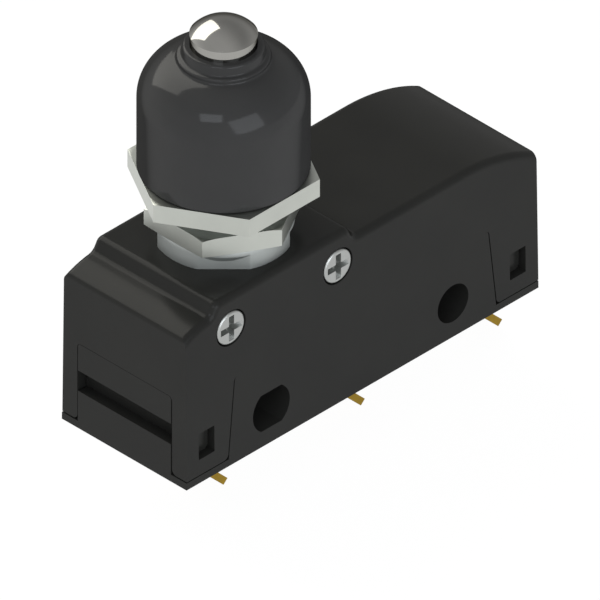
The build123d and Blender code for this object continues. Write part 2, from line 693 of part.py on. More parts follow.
def make_screw(x):
    """Cross screw with a low rounded head and a cross recess."""
    head_top = SCREW_SEAT_Y - SCREW_HEAD_HEIGHT
    head = cross_bar(x, SCREW_HEIGHT, head_top, SCREW_SEAT_Y, SCREW_HEAD_DIAMETER)
    head = fillet(head.edges().sort_by(Axis.Y)[0], SCREW_HEAD_ROUND)
    screw = head + cross_bar(x, SCREW_HEIGHT, SCREW_SEAT_Y, SCREW_SEAT_Y + SCREW_LENGTH, SCREW_DIAMETER)
    span = CROSS_SPAN / 2
    arm = CROSS_WIDTH / 2
    floor = head_top + CROSS_DEPTH
    front = head_top - CUT_MARGIN
    upright = block(x - arm, x + arm, front, floor, SCREW_HEIGHT - span, SCREW_HEIGHT + span)
    level_arm = block(x - span, x + span, front, floor, SCREW_HEIGHT - arm, SCREW_HEIGHT + arm)
    return screw - upright - level_arm


def make_tab(x, post_top):
    """Terminal blade: upright post in the base, bend under the case, pierced tab."""
    lean = math.radians(TERMINAL_BEND_ANGLE)
    tip = (x + TERMINAL_REACH * math.sin(lean), -TERMINAL_BEND_DROP - TERMINAL_REACH * math.cos(lean))
    path = FilletPolyline(
        _flat((x, post_top)),
        _flat((x, -TERMINAL_BEND_DROP)),
        _flat(tip),
        radius=TERMINAL_BEND_RADIUS,
    )
    section = trace(path, line_width=TERMINAL_THICKNESS)
    tab = Rot(90, 0, 0) * extrude(section, amount=TERMINAL_WIDTH / 2, both=True)
    hole_x = tip[0] - DETENT_FROM_TIP * math.sin(lean)
    hole_z = tip[1] + DETENT_FROM_TIP * math.cos(lean)
    drill = Cylinder(DETENT_DIAMETER / 2, TERMINAL_WIDTH)
    tab -= Pos(hole_x, 0, level(hole_z)) * Rot(0, 90 - TERMINAL_BEND_ANGLE, 0) * drill
    end = tab.edges().filter_by(lambda edge: is_tip_corner(edge, tip))
    return chamfer(end, TIP_CHAMFER)


def is_tip_corner(edge, tip):
    """True on the two short corner edges at the end of a tab."""
    middle = edge.center()
    near = math.hypot(middle.X - tip[0], middle.Z - level(tip[1])) < TERMINAL_THICKNESS
    return near and abs(middle.Y) > TERMINAL_WIDTH / 2 - TIP_CHAMFER


def arm_plate(x0, x1, z0, z1):
    """Level arm of a terminal inside the chamber, as wide as the contact blade."""
    half = BLADE_WIDTH / 2
    return block(min(x0, x1), max(x0, x1), -half, half, z0, z1)


def make_common_terminal():
    """Common terminal: the blade turns in the notch of its top arm; the lower arm is the anchor."""
    x = POST_X[0]
    top = PIVOT_HEIGHT + TERMINAL_THICKNESS / 2
    half = BLADE_WIDTH / 2
    tab = make_tab(x, top)
    bearing = arm_plate(x, PIVOT_X - BLADE_GAP, top - TERMINAL_THICKNESS, top)
    notch = PIVOT_BEAD_DIAMETER + 2 * BLADE_GAP
    bearing -= cross_bar(PIVOT_X, PIVOT_HEIGHT, -half, half, notch)
    anchor = arm_plate(x, PIVOT_X, ANCHOR_HEIGHT - TERMINAL_THICKNESS, ANCHOR_HEIGHT)
    return tab + bearing + anchor


def make_open_terminal():
    """Normally open terminal: its arm runs under the moving contact."""
    arm_top = NO_FACE - CONTACT_HEAD
    tab = make_tab(POST_X[1], arm_top)
    reach = CONTACT_X + CONTACT_DIAMETER / 2
    return tab + arm_plate(POST_X[1], reach, arm_top - TERMINAL_THICKNESS, arm_top)


def make_closed_terminal():
    """Normally closed terminal: its arm runs back over the moving contact."""
    arm_bottom = NC_FACE + CONTACT_HEAD
    arm_top = arm_bottom + TERMINAL_THICKNESS
    tab = make_tab(POST_X[2], arm_top)
    reach = CONTACT_X - CONTACT_DIAMETER / 2
    return tab + arm_plate(POST_X[2], reach, arm_bottom, arm_top)


def make_blade():
    """Contact blade with a rolled bead to turn on and a window for the snap spring."""
    half = BLADE_WIDTH / 2
    bead = cross_bar(PIVOT_X, PIVOT_HEIGHT, -half, half, PIVOT_BEAD_DIAMETER)
    blade = block(PIVOT_X, CONTACT_X + BLADE_TIP_MARGIN, -half, half, BLADE_HEIGHT, BLADE_TOP)
    hole = BLADE_WINDOW_WIDTH / 2
    far_x = BLADE_WINDOW_X + BLADE_WINDOW_LENGTH
    window = block(BLADE_WINDOW_X, far_x, -hole, hole, BLADE_HEIGHT, BLADE_TOP)
    return blade + bead - window - contact_rivet()


def contact_rivet():
    """Shank of the moving contact, through the blade."""
    return round_bar(CONTACT_X, BLADE_HEIGHT, BLADE_TOP, CONTACT_DIAMETER / 2)


def make_moving_contact():
    """Silver contact riveted through the blade, with a head on each side."""
    lower = round_bar(CONTACT_X, BLADE_HEIGHT - CONTACT_HEAD, BLADE_HEIGHT, CONTACT_DIAMETER)
    upper = round_bar(CONTACT_X, BLADE_TOP, BLADE_TOP + CONTACT_HEAD, CONTACT_DIAMETER)
    return lower + contact_rivet() + upper


def make_snap_spring():
    """Bowed strip that presses the blade into its notch and snaps it over."""
    start = (PIVOT_X + BLADE_GAP, ANCHOR_HEIGHT - TERMINAL_THICKNESS / 2)
    end_x = BLADE_WINDOW_X + BLADE_WINDOW_LENGTH - SNAP_SPRING_INSET
    end = (end_x, BLADE_HEIGHT - 2 * SNAP_SPRING_THICKNESS)
    middle = ((start[0] + end[0]) / 2, (start[1] + end[1]) / 2 - SNAP_SPRING_SAG)
    path = ThreePointArc(_flat(start), _flat(middle), _flat(end))
    strip = trace(path, line_width=SNAP_SPRING_THICKNESS)
    return Rot(90, 0, 0) * extrude(strip, amount=SNAP_SPRING_WIDTH / 2, both=True)


def make_springs():
    """The two coil springs, each with a hairline gap at both seats."""
    well_seat = SPRING_WELL_FLOOR + SEAT_GAP
    collar_seat = SPRING_COLLAR_TOP - SPRING_COLLAR_THICKNESS - SEAT_GAP
    pin_seat = PIN_TOP + SEAT_GAP
    bore_seat = STEM_BORE_TOP - SEAT_GAP
    return {
        "return_spring": make_coil(
            well_seat, collar_seat, RETURN_RADIUS, RETURN_WIRE, RETURN_TURNS
        ),
        "overtravel_spring": make_coil(
            pin_seat, bore_seat, OVERTRAVEL_RADIUS, OVERTRAVEL_WIRE, OVERTRAVEL_TURNS
        ),
    }


def all_pieces():
    """Every piece by its node's name."""
    pieces = {
        "base": make_base(),
        "cover": make_cover(),
        "bushing": make_bushing(),
        "lower_nut": make_nut(
            COLLAR_TOP, LOWER_NUT_THICKNESS, LOWER_NUT_FLATS, LOWER_NUT_TURN, LOWER_NUT_CHAMFER
        ),
        "panel_nut": make_nut(
            PANEL_NUT_BOTTOM, PANEL_NUT_THICKNESS, PANEL_NUT_FLATS, PANEL_NUT_TURN, 0
        ),
        "gaiter": make_gaiter(),
        "plunger": make_plunger(),
        "retaining_clip": make_clip(),
        "actuator_pin": make_pin(),
        "common_terminal": make_common_terminal(),
        "open_terminal": make_open_terminal(),
        "closed_terminal": make_closed_terminal(),
        "contact_blade": make_blade(),
        "moving_contact": make_moving_contact(),
        "open_contact": round_bar(CONTACT_X, NO_FACE - CONTACT_HEAD, NO_FACE, CONTACT_DIAMETER),
        "closed_contact": round_bar(CONTACT_X, NC_FACE, NC_FACE + CONTACT_HEAD, CONTACT_DIAMETER),
        "snap_spring": make_snap_spring(),
    }
    pieces.update(make_springs())
    for number, x in enumerate(screw_places(), start=1):
        pieces[f"cross_screw_{number}"] = make_screw(x)
    return pieces


os.makedirs("parts", exist_ok=True)
for name, piece in all_pieces().items():
    export_step(piece, f"parts/{name}.step")
    print(name, round(piece.volume, 2))
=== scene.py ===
import math

import bmesh
import bpy
from mathutils import Matrix, Vector


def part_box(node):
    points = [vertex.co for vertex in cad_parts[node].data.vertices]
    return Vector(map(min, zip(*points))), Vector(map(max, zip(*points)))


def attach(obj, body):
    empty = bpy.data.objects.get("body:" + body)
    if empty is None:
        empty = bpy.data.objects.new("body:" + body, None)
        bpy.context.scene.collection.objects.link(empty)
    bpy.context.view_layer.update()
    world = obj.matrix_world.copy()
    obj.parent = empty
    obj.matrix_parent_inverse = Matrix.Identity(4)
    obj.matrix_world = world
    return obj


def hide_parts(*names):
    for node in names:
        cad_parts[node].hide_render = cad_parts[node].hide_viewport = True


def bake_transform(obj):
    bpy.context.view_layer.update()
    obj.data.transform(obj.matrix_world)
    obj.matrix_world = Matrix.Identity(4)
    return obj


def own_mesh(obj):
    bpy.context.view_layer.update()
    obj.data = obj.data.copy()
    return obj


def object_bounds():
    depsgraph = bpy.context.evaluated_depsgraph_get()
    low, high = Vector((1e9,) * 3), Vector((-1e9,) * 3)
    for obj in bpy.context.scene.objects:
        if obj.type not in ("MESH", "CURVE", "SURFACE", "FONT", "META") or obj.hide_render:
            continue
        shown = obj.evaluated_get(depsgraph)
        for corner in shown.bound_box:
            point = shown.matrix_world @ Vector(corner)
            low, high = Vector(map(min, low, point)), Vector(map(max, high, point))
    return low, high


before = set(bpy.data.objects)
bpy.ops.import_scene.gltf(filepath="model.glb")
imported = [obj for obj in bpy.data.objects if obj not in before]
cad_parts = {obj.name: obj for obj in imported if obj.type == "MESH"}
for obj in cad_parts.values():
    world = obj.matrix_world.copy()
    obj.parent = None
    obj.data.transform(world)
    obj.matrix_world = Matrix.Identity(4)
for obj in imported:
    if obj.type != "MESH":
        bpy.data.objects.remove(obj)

solids_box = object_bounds()

# The view: a switch the length of a thumb, seen in the drawing office's isometric way from
# the heel end and the side with the screw heads. One millimetre is the same everywhere in it.
MM = 0.001
PICTURE_PIXELS = 600
PIXELS_PER_MM = 10.116
PICTURE_CENTRE = Vector((-12.722, 0.0, 2.4355)) * MM
CAMERA_DISTANCE = 0.4
TOWARDS_CAMERA = Vector((-1, -1, 1)).normalized()

camera_data = bpy.data.cameras.new("isometric_view")
camera_data.type = "ORTHO"
camera_data.ortho_scale = PICTURE_PIXELS / PIXELS_PER_MM * MM
camera_data.clip_end = 4 * CAMERA_DISTANCE
camera = bpy.data.objects.new("isometric_view", camera_data)
camera.location = PICTURE_CENTRE + TOWARDS_CAMERA * CAMERA_DISTANCE
camera.rotation_euler = (-TOWARDS_CAMERA).to_track_quat("-Z", "Y").to_euler()
bpy.context.collection.objects.link(camera)
bpy.context.scene.camera = camera


# The case: a base and a cover moulded in black glass-filled nylon, snapped together at the
# four corners. The tool's spark-eroded walls leave an even, half-matt grain on all faces,
# and every crisp edge of a moulding comes out of the tool very slightly round.
CASE_EDGE_ROUND = 0.07 * MM
MERGE_DISTANCE = 0.002 * MM
FLAT_WITHIN = math.radians(0.6)
CRISP_FROM = math.radians(28)
EDGE_STEPS = 2
FLAT_WEIGHT = 90
NYLON_SHADES = ("#242423", "#2A2A28")
NYLON_CLOUD = 7.0
NYLON_ROUGHNESS = (0.20, 0.26)
NYLON_GLOSS = 0.09
NYLON_RIM = (0.3, 0.8)
NYLON_GRAIN = (0.22, 0.004, 0.2)


def linear(code):
    """Linear colour of an sRGB hex code."""
    channels = [int(code[i:i + 2], 16) / 255 for i in (1, 3, 5)]
    return [c / 12.92 if c <= 0.04045 else ((c + 0.055) / 1.055) ** 2.4 for c in channels] + [1.0]


def add(tree, kind, values=(), links=(), **settings):
    """Adds one node with its settings, the values of its sockets and what is linked to them."""
    node = tree.nodes.new(kind)
    for name, value in settings.items():
        setattr(node, name, value)
    for socket, value in dict(values).items():
        node.inputs[socket].default_value = value
    for socket, source in dict(links).items():
        tree.links.new(source, node.inputs[socket])
    return node


def new_finish(name, **shader_values):
    """New material with one surface shader: the material, its tree, the shader and the place."""
    finish = bpy.data.materials.new(name)
    finish.use_nodes = True
    tree = finish.node_tree
    tree.nodes.clear()
    values = {key.replace("_", " ").title(): value for key, value in shader_values.items()}
    values = {"IOR" if key == "Ior" else key: value for key, value in values.items()}
    shader = add(tree, "ShaderNodeBsdfPrincipled", values)
    add(tree, "ShaderNodeOutputMaterial", links={"Surface": shader.outputs[0]})
    place = add(tree, "ShaderNodeTexCoord").outputs["Object"]
    return finish, tree, shader, place


def mottle(tree, place, shader, shades, size_mm, roughness):
    """Cloudy variation between two shades and two degrees of roughness, as wide as size_mm."""
    dark, light = map(linear, shades)
    cloud = add(
        tree, "ShaderNodeTexNoise", {"Scale": 1 / (size_mm * MM), "Detail": 3.0}, {"Vector": place}
    ).outputs[0]
    shade = add(tree, "ShaderNodeMix", {6: dark, 7: light}, {0: cloud}, data_type="RGBA")
    gloss = add(
        tree,
        "ShaderNodeMapRange",
        {"To Min": roughness[0], "To Max": roughness[1]},
        {"Value": cloud},
    )
    tree.links.new(shade.outputs[2], shader.inputs["Base Color"])
    tree.links.new(gloss.outputs[0], shader.inputs["Roughness"])


def grain(tree, place, shader, width_mm, depth_mm, strength):
    """Fine bumps all over the surface, width_mm wide and depth_mm deep."""
    bumps = add(
        tree, "ShaderNodeTexNoise", {"Scale": 1 / (width_mm * MM), "Detail": 2.0}, {"Vector": place}
    )
    relief = add(
        tree,
        "ShaderNodeBump",
        {"Strength": strength, "Distance": depth_mm * MM},
        {"Height": bumps.outputs[0]},
    )
    tree.links.new(relief.outputs[0], shader.inputs["Normal"])


def soft_rim(tree, shader, gloss, rim):
    """Gloss that is full where the surface faces the eye and dies away over the rim, which runs
    from one turn of the surface to another. A turn is 0 towards the eye and 1 at the outline."""
    facing = add(tree, "ShaderNodeLayerWeight", {"Blend": 0.5}).outputs["Facing"]
    level = add(
        tree,
        "ShaderNodeMapRange",
        {"From Min": rim[0], "From Max": rim[1], "To Min": gloss, "To Max": 0.0},
        {"Value": facing},
        interpolation_type="SMOOTHSTEP",
    )
    tree.links.new(level.outputs[0], shader.inputs["Specular IOR Level"])


def black_nylon():
    """Glass-filled nylon off a fine tool: nearly black with a low shine, broken by a soft grain.
    The real grain is finer than a pixel and is drawn a little coarser."""
    finish, tree, shader, place = new_finish("moulded_black_nylon", ior=1.53)
    soft_rim(tree, shader, NYLON_GLOSS, NYLON_RIM)
    mottle(tree, place, shader, NYLON_SHADES, NYLON_CLOUD, NYLON_ROUGHNESS)
    grain(tree, place, shader, *NYLON_GRAIN)
    return finish


def stand(name, mesh, finish):
    """Object for a finished mesh, standing at the origin with its place in its mesh."""
    mesh.materials.clear()
    mesh.materials.append(finish)
    piece = bpy.data.objects.new(name, mesh)
    bpy.context.collection.objects.link(piece)
    return piece


def settle(piece):
    """Works the modifiers of a piece into its mesh."""
    depsgraph = bpy.context.evaluated_depsgraph_get()
    mesh = bpy.data.meshes.new_from_object(piece.evaluated_get(depsgraph), depsgraph=depsgraph)
    piece.modifiers.clear()
    piece.data = mesh
    return piece


def break_edges(piece, edge_round, joint=None):
    """Rounds off each crisp edge of a piece, apart from those at the height of a tight joint,
    and shades its flat faces flat."""
    form = bmesh.new()
    form.from_mesh(piece.data)
    weights = form.edges.layers.float.new("bevel_weight_edge")
    for edge in form.edges:
        in_joint = joint is not None and all(abs(v.co.z - joint) < MERGE_DISTANCE for v in edge.verts)
        if edge.calc_face_angle(0.0) > CRISP_FROM and not in_joint:
            edge[weights] = 1.0
    for face in form.faces:
        face.smooth = True
    form.to_mesh(piece.data)
    form.free()
    bevel = piece.modifiers.new("edge_round", "BEVEL")
    bevel.width = edge_round
    bevel.segments = EDGE_STEPS
    bevel.limit_method = "WEIGHT"
    settle(piece)
    piece.data.set_sharp_from_angle(angle=CRISP_FROM)
    flat = piece.modifiers.new("flat_faces", "WEIGHTED_NORMAL")
    flat.keep_sharp = True
    flat.weight = FLAT_WEIGHT
    return settle(piece)


def packed_copy(name, node, finish):
    """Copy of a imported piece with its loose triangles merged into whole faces."""
    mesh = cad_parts[node].data.copy()
    form = bmesh.new()
    form.from_mesh(mesh)
    bmesh.ops.remove_doubles(form, verts=form.verts, dist=MERGE_DISTANCE)
    bmesh.ops.dissolve_limit(form, angle_limit=FLAT_WITHIN, verts=form.verts, edges=form.edges)
    form.to_mesh(mesh)
    form.free()
    while mesh.attributes.get("custom_normal"):
        mesh.attributes.remove(mesh.attributes["custom_normal"])
    return stand(name, mesh, finish)


nylon = black_nylon()
for name, node in (("case_base", "base"), ("case_cover", "cover")):
    half = break_edges(packed_copy(name, node, nylon), CASE_EDGE_ROUND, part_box("base")[1].z)
    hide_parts(node)
    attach(half, "case")


# The bushing: turned from round brass bar with four milled flats, and satin nickel plated. The
# cone under the collar runs out in an arch on each flat, and a fine thread climbs the barrel.
ROUND_STEPS = 120
SHANK_FLATS = 13.1 * MM
CONE_START = 5.9 * MM
CONE_END = 6.63 * MM
BARREL_RADIUS = 6.0 * MM
BARREL_CHAMFER = 0.8 * MM
THREAD_PITCH = 1.0 * MM
THREAD_DEPTH = 0.5 * MM
THREAD_FLAT = 1 / 12
THREAD_ROWS = 10
SPRING_WELL_RADIUS = 4.4 * MM
SPRING_WELL_FLOOR = 11.8 * MM
STEM_BORE_RADIUS = 2.45 * MM
CLIP_WELL_RADIUS = 3.4 * MM
CLIP_WELL_TOP = 5.8 * MM
BUSHING_EDGE_ROUND = 0.05 * MM
SATIN_SHADES = ("#AEB2B0", "#B6BAB8")
SATIN_CLOUD = 3.0
SATIN_ROUGHNESS = (0.56, 0.66)

bushing_low, bushing_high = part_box("bushing")
AXIS = Vector(((bushing_low.x + bushing_high.x) / 2, (bushing_low.y + bushing_high.y) / 2, 0.0))
COLLAR_RADIUS = (bushing_high.x - bushing_low.x) / 2
COLLAR_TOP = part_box("lower_nut")[0].z
THREAD_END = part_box("panel_nut")[1].z + THREAD_PITCH / 2


def around(rings, name, finish, closed=True):
    """Skin over rings of points; a closed run joins the last ring to the first."""
    form = bmesh.new()
    rows = [[form.verts.new(point) for point in ring] for ring in rings]
    pairs = list(zip(rows, rows[1:]))
    if closed:
        pairs.append((rows[-1], rows[0]))
    for row, following in pairs:
        for i in range(len(row)):
            j = (i + 1) % len(row)
            form.faces.new((row[i], row[j], following[j], following[i]))
    bmesh.ops.remove_doubles(form, verts=form.verts, dist=MERGE_DISTANCE)
    bmesh.ops.recalc_face_normals(form, faces=form.faces)
    mesh = bpy.data.meshes.new(name)
    form.to_mesh(mesh)
    form.free()
    return stand(name, mesh, finish)


def shank_radius(angle):
    """Distance from the axis to the outline of the shank, with a flat towards each corner."""
    from_flat = angle % (math.pi / 2) - math.pi / 4
    return min(SHANK_FLATS / 2 / math.cos(from_flat), COLLAR_RADIUS)


def ring_angles():
    """Even steps round the bushing, and the angles at which the flats end."""
    angles = [2 * math.pi * step / ROUND_STEPS for step in range(ROUND_STEPS)]
    half_flat = math.acos(SHANK_FLATS / 2 / COLLAR_RADIUS)
    for quarter in range(4):
        middle = math.pi / 4 + quarter * math.pi / 2
        angles += [middle - half_flat, middle + half_flat]
    return sorted(angles)


def ring(radius, height):
    """One ring of the bushing; radius and height may be functions of the angle."""
    points = []
    for angle in ring_angles():
        r = radius(angle) if callable(radius) else radius
        z = height(angle) if callable(height) else height
        points.append(AXIS + Vector((r * math.cos(angle), r * math.sin(angle), z)))
    return points


def arch_height(angle):
    """Height at which the cone under the collar leaves the flat in a direction."""
    rise = (shank_radius(angle) - SHANK_FLATS / 2) / (COLLAR_RADIUS - SHANK_FLATS / 2)
    return bushing_low.z + CONE_START + rise * (CONE_END - CONE_START)


def thread_radius(height):
    """Radius of the thread at a height, as a function of the angle. Crest and root are as flat
    as a share of the pitch says, with straight flanks between them."""
    def radius(angle):
        turn = (height / THREAD_PITCH - angle / (2 * math.pi)) % 1
        sunk = (abs(turn - 0.5) - THREAD_FLAT / 2) / (0.5 - THREAD_FLAT)
        return BARREL_RADIUS - THREAD_DEPTH * min(1, max(0, sunk))
    return radius


def bushing_rings():
    """Rings of the bushing, up its outside and down its bore."""
    foot, rim = bushing_low.z, bushing_high.z
    rings = [ring(shank_radius, foot), ring(shank_radius, arch_height)]
    rings += [ring(COLLAR_RADIUS, foot + CONE_END), ring(COLLAR_RADIUS, COLLAR_TOP)]
    rings.append(ring(BARREL_RADIUS, COLLAR_TOP))
    rows = round((THREAD_END - COLLAR_TOP) / THREAD_PITCH * THREAD_ROWS)
    for row in range(1, rows):
        height = COLLAR_TOP + (THREAD_END - COLLAR_TOP) * row / rows
        rings.append(ring(thread_radius(height), height))
    rings += [ring(BARREL_RADIUS, THREAD_END), ring(BARREL_RADIUS, rim - BARREL_CHAMFER)]
    rings += [ring(BARREL_RADIUS - BARREL_CHAMFER, rim), ring(SPRING_WELL_RADIUS, rim)]
    rings += [ring(r, foot + SPRING_WELL_FLOOR) for r in (SPRING_WELL_RADIUS, STEM_BORE_RADIUS)]
    rings += [ring(r, foot + CLIP_WELL_TOP) for r in (STEM_BORE_RADIUS, CLIP_WELL_RADIUS)]
    rings.append(ring(CLIP_WELL_RADIUS, foot))
    return rings


def satin_nickel():
    """Satin nickel over turned brass: a pale grey that blurs what it mirrors into soft bands."""
    finish, tree, shader, place = new_finish("satin_nickel_plate", metallic=1.0)
    mottle(tree, place, shader, SATIN_SHADES, SATIN_CLOUD, SATIN_ROUGHNESS)
    return finish


bushing = around(bushing_rings(), "threaded_bushing", satin_nickel())
break_edges(bushing, BUSHING_EDGE_ROUND)
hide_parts("bushing")
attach(bushing, "case")


# The nuts: two hexagon nuts in nickel-plated steel. The lower one is turned off at its
# corners and clamps down on the collar; the thin one above is sheared from plate, with flat
# faces, and holds the panel.
NUT_STEPS = 120
LOWER_NUT_CHAMFER = 0.2 * MM
LOWER_EDGE_SHARE = 0.4
NUT_BORE_RADIUS = BARREL_RADIUS + 0.05 * MM
NUT_EDGE_ROUND = 0.06 * MM
NUT_FACE_AREA = 0.3 * MM ** 2
NICKEL_SHADES = ("#B7BAB4", "#C3C6BF")
NICKEL_CLOUD = 2.5
NICKEL_ROUGHNESS = (0.34, 0.42)
NICKEL_GRAIN = (0.15, 0.006, 0.2)


def nut_tree(finish):
    """Tree that makes one nut from its size across flats, thickness, chamfer, bore and turn."""
    tree = bpy.data.node_groups.new("hexagon_nut", "GeometryNodeTree")
    for name in ("Half Flats", "Thickness", "Chamfer", "Bore Radius", "Turn"):
        tree.interface.new_socket(name, in_out="INPUT", socket_type="NodeSocketFloat")
    tree.interface.new_socket("Nut", in_out="OUTPUT", socket_type="NodeSocketGeometry")
    sizes = add(tree, "NodeGroupInput").outputs

    def maths(operation, *terms):
        node = add(tree, "ShaderNodeMath", operation=operation)
        for i, term in enumerate(terms):
            if isinstance(term, (int, float)):
                node.inputs[i].default_value = term
            else:
                tree.links.new(term, node.inputs[i])
        return node.outputs[0]

    def pick(index, choices):
        node = add(tree, "GeometryNodeIndexSwitch", links={"Index": index}, data_type="FLOAT")
        while len(node.index_switch_items) < len(choices):
            node.index_switch_items.new()
        for i, choice in enumerate(choices):
            if isinstance(choice, (int, float)):
                node.inputs[i + 1].default_value = choice
            else:
                tree.links.new(choice, node.inputs[i + 1])
        return node.outputs[0]

    rows = 7
    sheet = add(
        tree,
        "GeometryNodeMeshGrid",
        {"Size X": rows - 1, "Size Y": NUT_STEPS, "Vertices X": rows, "Vertices Y": NUT_STEPS + 1},
    )
    position = add(tree, "GeometryNodeInputPosition").outputs[0]
    place = add(tree, "ShaderNodeSeparateXYZ", links={0: position})
    row = maths("ROUND", maths("ADD", place.outputs["X"], (rows - 1) / 2))
    angle = maths("MULTIPLY", maths("ADD", place.outputs["Y"], NUT_STEPS / 2), 2 * math.pi / NUT_STEPS)
    sixth = math.pi / 3
    from_corner = maths("FLOORED_MODULO", maths("SUBTRACT", angle, sizes["Turn"]), sixth)
    from_flat = maths("SUBTRACT", from_corner, sixth / 2)
    outline = maths("DIVIDE", sizes["Half Flats"], maths("COSINE", from_flat))
    corner = maths("DIVIDE", sizes["Half Flats"], math.cos(sixth / 2))
    corner_reach = maths("SUBTRACT", corner, sizes["Half Flats"])
    shared_radius = maths("ADD", sizes["Half Flats"], maths("DIVIDE", corner_reach, 2))
    lower_share = maths("DIVIDE", maths("SUBTRACT", outline, sizes["Half Flats"]), corner_reach)
    upper_share = maths("MAXIMUM", maths("SUBTRACT", maths("MULTIPLY", lower_share, 2), 1), 0)
    lower_chamfer = maths("MULTIPLY", sizes["Chamfer"], LOWER_EDGE_SHARE)
    lower_edge = maths("MULTIPLY", lower_chamfer, lower_share)
    upper_drop = maths("MULTIPLY", sizes["Chamfer"], upper_share)
    upper_edge = maths("SUBTRACT", sizes["Thickness"], upper_drop)
    upper_face = maths("MINIMUM", shared_radius, outline)
    bore, face, top = sizes["Bore Radius"], sizes["Half Flats"], sizes["Thickness"]
    radius = pick(row, [bore, face, outline, outline, upper_face, bore, bore])
    height = pick(row, [0.0, 0.0, lower_edge, upper_edge, top, top, 0.0])
    across = maths("MULTIPLY", radius, maths("COSINE", angle))
    along = maths("MULTIPLY", radius, maths("SINE", angle))
    spot = add(tree, "ShaderNodeCombineXYZ", links={0: across, 1: along, 2: height})
    bent = add(
        tree,
        "GeometryNodeSetPosition",
        links={"Geometry": sheet.outputs["Mesh"], "Position": spot.outputs[0]},
    )
    merged = add(
        tree,
        "GeometryNodeMergeByDistance",
        {"Distance": MERGE_DISTANCE},
        {"Geometry": bent.outputs[0]},
    )
    real = add(tree, "GeometryNodeRealizeInstances", links={"Geometry": merged.outputs[0]})
    coated = add(tree, "GeometryNodeSetMaterial", {"Material": finish}, {"Geometry": real.outputs[0]})
    add(tree, "NodeGroupOutput", links={0: coated.outputs[0]})
    return tree


def grown(name, tree, sizes, at, finish):
    """Piece that a tree makes from the given sizes, as a plain mesh moved to its place."""
    piece = stand(name, bpy.data.meshes.new(name), finish)
    growth = piece.modifiers.new("growth", "NODES")
    growth.node_group = tree
    for item in tree.interface.items_tree:
        if item.item_type == "SOCKET" and item.in_out == "INPUT" and item.name in sizes:
            growth[item.identifier] = sizes[item.name]
    settle(piece)
    form = bmesh.new()
    form.from_mesh(piece.data)
    bmesh.ops.translate(form, verts=form.verts, vec=at)
    bmesh.ops.recalc_face_normals(form, faces=form.faces)
    form.to_mesh(piece.data)
    form.free()
    return piece


def flatten_faces(piece, least_area):
    """Shades every face above a given area flat and leaves the rounded edges between them."""
    normals = [tuple(corner.vector) for corner in piece.data.corner_normals]
    for polygon in piece.data.polygons:
        if polygon.area > least_area:
            for corner in polygon.loop_indices:
                normals[corner] = tuple(polygon.normal)
    piece.data.normals_split_custom_set(normals)


def nickel_plate():
    """Dull nickel over pressed steel: a pale, slightly warm metal that blurs what it mirrors."""
    finish, tree, shader, place = new_finish("nickel_plated_steel", metallic=1.0)
    mottle(tree, place, shader, NICKEL_SHADES, NICKEL_CLOUD, NICKEL_ROUGHNESS)
    grain(tree, place, shader, *NICKEL_GRAIN)
    return finish


nickel = nickel_plate()
nut_maker = nut_tree(nickel)
for name, node, chamfer, turn in (
    ("lower_hexagon_nut", "lower_nut", LOWER_NUT_CHAMFER, 90.0),
    ("thin_panel_nut", "panel_nut", 0.0, 0.0),
):
    low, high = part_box(node)
    half_flats = min(high.x - low.x, high.y - low.y) / 2
    sizes = {
        "Half Flats": half_flats,
        "Thickness": high.z - low.z,
        "Chamfer": chamfer,
        "Bore Radius": NUT_BORE_RADIUS,
        "Turn": math.radians(turn),
    }
    nut = grown(name, nut_maker, sizes, AXIS + Vector((0, 0, low.z)), nickel)
    break_edges(nut, NUT_EDGE_ROUND)
    flatten_faces(nut, NUT_FACE_AREA)
    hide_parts(node)
    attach(nut, "case")


# The gaiter: a hollow boot of black nitrile rubber, moulded in one piece. Its thick skirt
# grips the barrel, the thin dome folds on the real switch as the button goes down but is built
# here in its rest shape only, and a short neck with two fine sealing rings closes round the stem.
GAITER_STEPS = 160
SKIRT_INSIDE = 6.05 * MM
SKIRT_ROUND = 0.3 * MM
SHOULDER = 8.19 * MM
DOME_RADIUS = 4.75 * MM
DOME_WALL = 1.2 * MM
DOME_STEPS = 36
NECK_FOOT_RADIUS = 5.15 * MM
NECK_FOOT_RISE = 0.1 * MM
NECK_FOOT_ROUND = 0.28 * MM
LOWER_RING_RADIUS = 4.7 * MM
LOWER_RING_DROP = 1.22 * MM
LOWER_RING_ROUND = 0.2 * MM
WAIST_RADIUS = 4.2 * MM
WAIST_RISE = 0.12 * MM
WAIST_ROUND = 0.22 * MM
UPPER_RING_RADIUS = 4.1 * MM
UPPER_RING_ROUND = 0.3 * MM
NECK_BORE_LENGTH = 2.4 * MM
INNER_DOME_START = 78
INNER_DOME_STEPS = 24
THIN_WALL_DROP = 0.6 * MM
THICK_WALL_DROP = 1.8 * MM
RUBBER_SHADES = ("#333333", "#383838")
RUBBER_CLOUD = 4.0
RUBBER_ROUGHNESS = (0.09, 0.12)
RUBBER_GLOSS = 0.15
RUBBER_RIM = (0.3, 0.65)
RUBBER_GRAIN = (0.12, 0.002, 0.1)


def rounded(corners, steps=6):
    """Closed outline through (radius, height, round) corners, each turned off to its round."""
    outline = []
    for i, (x, z, turn) in enumerate(corners):
        here = Vector((x, z))
        if not turn:
            outline.append(here)
            continue
        before = (Vector(corners[i - 1][:2]) - here).normalized()
        after = (Vector(corners[(i + 1) % len(corners)][:2]) - here).normalized()
        half = before.angle(after) / 2
        centre = here + (before + after).normalized() * turn / math.sin(half)
        start = (here + before * turn / math.tan(half) - centre).normalized()
        end = (here + after * turn / math.tan(half) - centre).normalized()
        outline += [centre + start.slerp(end, k / steps) * turn for k in range(steps + 1)]
    return outline


